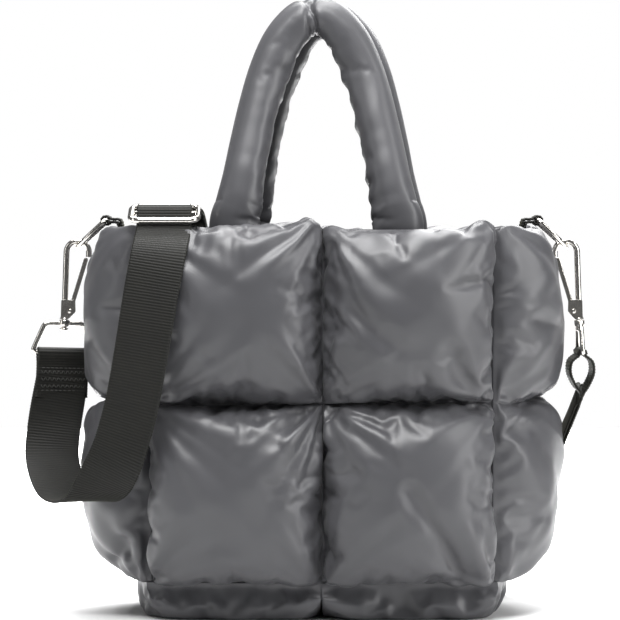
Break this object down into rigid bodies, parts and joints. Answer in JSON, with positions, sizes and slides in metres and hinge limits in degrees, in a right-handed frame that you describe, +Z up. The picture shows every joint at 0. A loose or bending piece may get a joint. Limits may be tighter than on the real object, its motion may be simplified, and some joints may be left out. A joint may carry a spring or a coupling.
{
  "type": "puffer tote bag",
  "caption": "Soft quilted tote with stuffed tube handles, an open padded body and a webbing shoulder strap on swivel snap hooks.",
  "frame": {"origin": "bottom centre of the whole bag's box, at the ground, with the strap and its fittings counted", "axes": "+Z up, the front faces -Y, +X to the right as seen from the front"},
  "size_m": [0.403, 0.2426, 0.4352],
  "materials": {
    "bag_nylon": "smooth coated nylon with a satin sheen, charcoal grey",
    "strap_webbing": "ribbed black polyester webbing",
    "plated_metal": "polished nickel plate"
  },
  "bodies": {
    "bag": {"front_panel": "bag_nylon", "back_panel": "bag_nylon", "left_side_panel": "bag_nylon", "right_side_panel": "bag_nylon", "base_panel": "bag_nylon", "front_handle": "bag_nylon", "back_handle": "bag_nylon", "left_ring_tab": "strap_webbing", "right_ring_tab": "strap_webbing", "left_bag_ring": "plated_metal", "right_bag_ring": "plated_metal", "left_strap_ring": "plated_metal", "right_strap_ring": "plated_metal", "strap_slider": "plated_metal", "strap_front_run": "strap_webbing", "strap_back_run": "strap_webbing"},
    "left_hook_body": {"left_hook": "plated_metal"},
    "left_gate": {"left_hook_gate": "plated_metal"},
    "right_hook_body": {"right_hook": "plated_metal"},
    "right_gate": {"right_hook_gate": "plated_metal"}
  },
  "joints": [
    {"name": "left_hook_swivel", "type": "hinge", "parent": "bag", "child": "left_hook_body", "pos_m": [-0.17414, -0.0126, 0.20427], "axis": [0.0349, 0, 0.9994], "range_deg": [-12, 12]},
    {"name": "left_gate_hinge", "type": "hinge", "parent": "left_hook_body", "child": "left_gate", "pos_m": [-0.16993, -0.0126, 0.21293], "axis": [0, -1, 0], "range_deg": [0, 14], "stiffness_Nm_per_rad": 0.02, "springref_deg": -17.19},
    {"name": "right_hook_swivel", "type": "hinge", "parent": "bag", "child": "right_hook_body", "pos_m": [0.19362, -0.0126, 0.20427], "axis": [-0.0349, 0, 0.9994], "range_deg": [-12, 12]},
    {"name": "right_gate_hinge", "type": "hinge", "parent": "right_hook_body", "child": "right_gate", "pos_m": [0.18941, -0.0126, 0.21293], "axis": [0, 1, 0], "range_deg": [0, 14], "stiffness_Nm_per_rad": 0.02, "springref_deg": -17.19}
  ]
}
